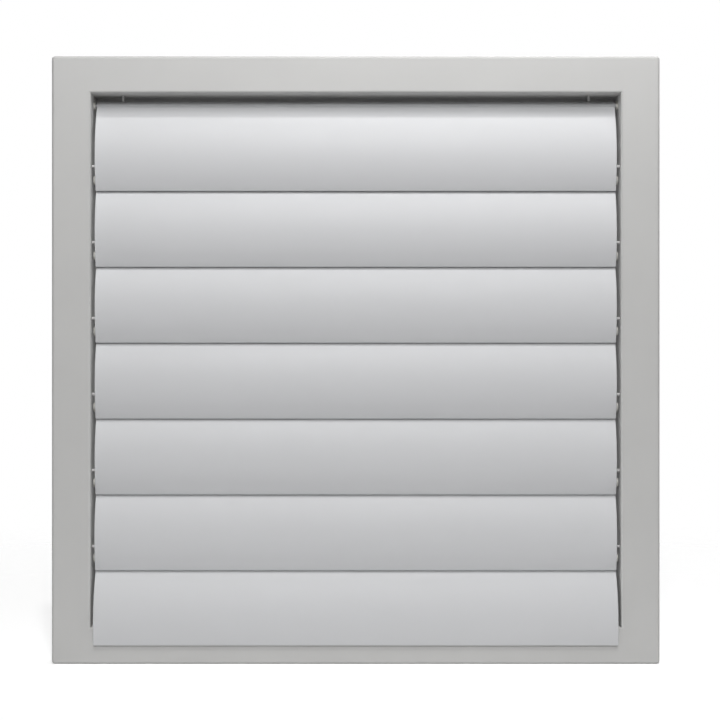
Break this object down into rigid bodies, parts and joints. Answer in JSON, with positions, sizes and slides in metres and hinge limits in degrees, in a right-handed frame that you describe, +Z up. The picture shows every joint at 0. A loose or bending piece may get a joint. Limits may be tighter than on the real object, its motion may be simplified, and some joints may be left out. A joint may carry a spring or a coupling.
{
  "type": "exterior louvre grille",
  "caption": "Square grey plastic exterior grille with lapped curved blades on pivots in a flat-rimmed frame; the air stream lifts the blades and they fall shut over the duct.",
  "frame": {"origin": "centre of the rear face, on the wall's plane, in the middle of the fixing holes", "axes": "front faces -Y, rear face on y = 0 towards the wall (+Y), +Z up, +X to the right seen from the front"},
  "size_m": [0.398, 0.031, 0.398],
  "materials": {
    "frame_plastic": "satin light grey",
    "blade_plastic": "satin light grey",
    "bush_plastic": "natural off-white"
  },
  "bodies": {
    "frame": {"frame": "frame_plastic", "bush_left_1": "bush_plastic", "bush_right_1": "bush_plastic", "bush_left_2": "bush_plastic", "bush_right_2": "bush_plastic", "bush_left_3": "bush_plastic", "bush_right_3": "bush_plastic", "bush_left_4": "bush_plastic", "bush_right_4": "bush_plastic", "bush_left_5": "bush_plastic", "bush_right_5": "bush_plastic", "bush_left_6": "bush_plastic", "bush_right_6": "bush_plastic", "bush_left_7": "bush_plastic", "bush_right_7": "bush_plastic"},
    "blade_1": {"blade_1": "blade_plastic"},
    "blade_2": {"blade_2": "blade_plastic"},
    "blade_3": {"blade_3": "blade_plastic"},
    "blade_4": {"blade_4": "blade_plastic"},
    "blade_5": {"blade_5": "blade_plastic"},
    "blade_6": {"blade_6": "blade_plastic"},
    "blade_7": {"blade_7": "blade_plastic"}
  },
  "joints": [
    {"name": "blade_1_swing", "type": "hinge", "parent": "frame", "child": "blade_1", "pos_m": [0, -0.0125, 0.16875], "axis": [-1, 0, 0], "range_deg": [0, 78]},
    {"name": "blade_2_swing", "type": "hinge", "parent": "frame", "child": "blade_2", "pos_m": [0, -0.0125, 0.11875], "axis": [-1, 0, 0], "range_deg": [0, 78]},
    {"name": "blade_3_swing", "type": "hinge", "parent": "frame", "child": "blade_3", "pos_m": [0, -0.0125, 0.06875], "axis": [-1, 0, 0], "range_deg": [0, 78]},
    {"name": "blade_4_swing", "type": "hinge", "parent": "frame", "child": "blade_4", "pos_m": [0, -0.0125, 0.01875], "axis": [-1, 0, 0], "range_deg": [0, 77.96]},
    {"name": "blade_5_swing", "type": "hinge", "parent": "frame", "child": "blade_5", "pos_m": [0, -0.0125, -0.03125], "axis": [-1, 0, 0], "range_deg": [0, 77.68]},
    {"name": "blade_6_swing", "type": "hinge", "parent": "frame", "child": "blade_6", "pos_m": [0, -0.0125, -0.08125], "axis": [-1, 0, 0], "range_deg": [0, 76.1]},
    {"name": "blade_7_swing", "type": "hinge", "parent": "frame", "child": "blade_7", "pos_m": [0, -0.0125, -0.13125], "axis": [-1, 0, 0], "range_deg": [0, 67.64]}
  ],
  "couplings": [
    {"joint": "blade_2_swing", "follows": "blade_1_swing", "ratio": 1},
    {"joint": "blade_3_swing", "follows": "blade_1_swing", "ratio": 1},
    {"joint": "blade_4_swing", "follows": "blade_1_swing", "ratio": 0.9994},
    {"joint": "blade_5_swing", "follows": "blade_1_swing", "ratio": 0.9958},
    {"joint": "blade_6_swing", "follows": "blade_1_swing", "ratio": 0.9756},
    {"joint": "blade_7_swing", "follows": "blade_1_swing", "ratio": 0.8671}
  ]
}
